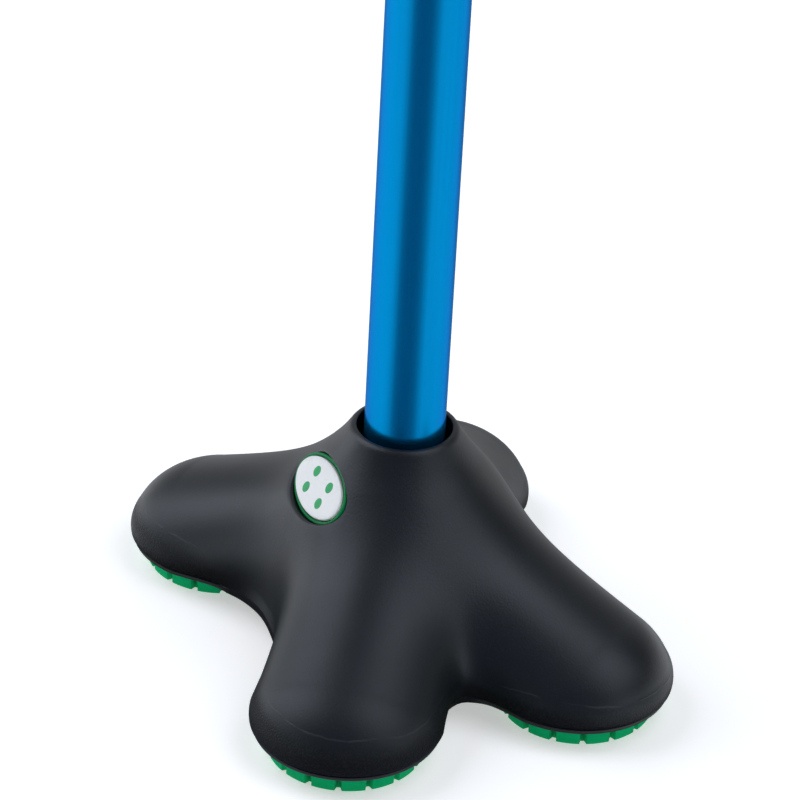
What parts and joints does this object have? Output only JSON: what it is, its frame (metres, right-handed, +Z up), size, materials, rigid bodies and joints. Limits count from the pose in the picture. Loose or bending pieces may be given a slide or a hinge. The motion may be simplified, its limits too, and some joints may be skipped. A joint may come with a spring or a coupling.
{
  "type": "offset quad cane",
  "caption": "Height-adjustable offset-handle walking cane on a compact soft four-legged base with notched rubber treads.",
  "frame": {"origin": "on the floor under the shaft's axis, which is the middle of the object's outline seen from above", "axes": "+X ahead, the way the user walks, +Y to the user's left, +Z up along the shaft; the grip runs back over the base along -X"},
  "size_m": [0.1759, 0.1024, 0.8764],
  "materials": {
    "soft_black": "soft-touch, fine texture",
    "stiff_black": "moulded",
    "green_rubber": "matte",
    "badge_green": "gloss",
    "badge_white": "gloss",
    "blue_anodised": "satin anodised blue",
    "steel": "bright",
    "nylon": "natural",
    "grey_plastic": "moulded",
    "grip_foam": "soft, matte"
  },
  "bodies": {
    "base": {"base_shell": "soft_black", "hub_core": "stiff_black", "sole_plate": "stiff_black", "sole_screw_1": "steel", "sole_screw_2": "steel", "sole_screw_3": "steel", "sole_screw_4": "steel", "tread_front_left": "green_rubber", "tread_front_right": "green_rubber", "tread_rear_left": "green_rubber", "tread_rear_right": "green_rubber", "badge_plug": "badge_green", "badge_face": "badge_white", "seat_washer": "steel", "socket_sleeve": "soft_black", "tube_end_plug": "grey_plastic", "lower_tube": "blue_anodised", "guide_bush": "nylon", "snap_spring": "steel"},
    "button": {"snap_button": "steel"},
    "handle": {"upper_tube": "blue_anodised", "thread_bushing": "stiff_black", "bushing_rivet_front": "steel", "bushing_rivet_rear": "steel", "hand_grip": "grip_foam", "grip_front_ring": "grey_plastic", "grip_end_cap": "stiff_black"},
    "clamp": {"clamp_ring": "nylon"},
    "collar": {"locking_collar": "stiff_black"}
  },
  "joints": [
    {"name": "height_slide", "type": "slide", "parent": "base", "child": "handle", "axis": [0, 0, 1], "range_m": [-0.1524, 0.0762]},
    {"name": "button_press", "type": "slide", "parent": "base", "child": "button", "axis": [0, 1, 0], "range_m": [0, 0.0043], "stiffness_N_per_m": 3500, "deforming": ["snap_spring"]},
    {"name": "clamp_lift", "type": "slide", "parent": "handle", "child": "clamp", "axis": [0, 0, -1], "range_m": [0, 0.00375]},
    {"name": "collar_turn", "type": "hinge", "parent": "clamp", "child": "collar", "pos_m": [0, 0, 0.2379], "axis": [0, 0, -1], "range_deg": [0, 540]}
  ],
  "couplings": [
    {"joint": "collar_turn", "follows": "clamp_lift", "rad_per_m": 2513.3}
  ]
}
